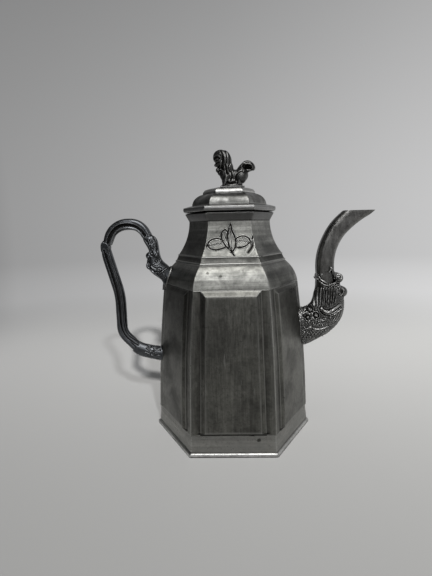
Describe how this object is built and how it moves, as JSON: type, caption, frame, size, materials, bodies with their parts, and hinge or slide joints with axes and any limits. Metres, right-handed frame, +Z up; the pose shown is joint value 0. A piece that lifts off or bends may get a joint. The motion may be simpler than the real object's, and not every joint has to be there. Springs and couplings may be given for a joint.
{
  "type": "teapot",
  "caption": "Tall hexagonal pewter teapot: bowed panelled walls, a flared neck, a lift-off lid with a lion, a dragon-head spout and a reeded dragon handle.",
  "frame": {"origin": "the middle of the base's underside", "axes": "+Z up, +X towards the spout, -Y towards the side in the picture"},
  "size_m": [0.2253, 0.1146, 0.2306],
  "materials": {
    "sheet_pewter": "dull, brushed and tarnished",
    "cast_pewter": "dull, worn bright on the high spots",
    "solder": "dull"
  },
  "bodies": {
    "pot": {"base_plate": "sheet_pewter", "foot_band": "sheet_pewter", "wall_front": "sheet_pewter", "wall_front_right": "sheet_pewter", "wall_back_right": "sheet_pewter", "wall_back": "sheet_pewter", "wall_back_left": "sheet_pewter", "wall_front_left": "sheet_pewter", "shoulder_front": "sheet_pewter", "shoulder_front_right": "sheet_pewter", "shoulder_back_right": "sheet_pewter", "shoulder_back": "sheet_pewter", "shoulder_back_left": "sheet_pewter", "shoulder_front_left": "sheet_pewter", "neck_collar": "sheet_pewter", "neck_front": "sheet_pewter", "neck_front_right": "sheet_pewter", "neck_back_right": "sheet_pewter", "neck_back": "sheet_pewter", "neck_back_left": "sheet_pewter", "neck_front_left": "sheet_pewter", "mouth_ring": "sheet_pewter", "dragon_socket": "cast_pewter", "spout_tube": "sheet_pewter", "handle_arch": "cast_pewter", "handle_grip": "cast_pewter", "handle_tail": "cast_pewter", "handle_saddle": "solder"},
    "lid": {"lid_rim": "sheet_pewter", "lid_collar": "sheet_pewter", "lid_dome": "sheet_pewter", "lid_cap": "sheet_pewter", "lion_finial": "cast_pewter", "finial_pin": "cast_pewter"}
  },
  "joints": [
    {"name": "lid_lift", "type": "slide", "parent": "pot", "child": "lid", "axis": [0, 0, 1], "range_m": [0, 0.06]}
  ]
}
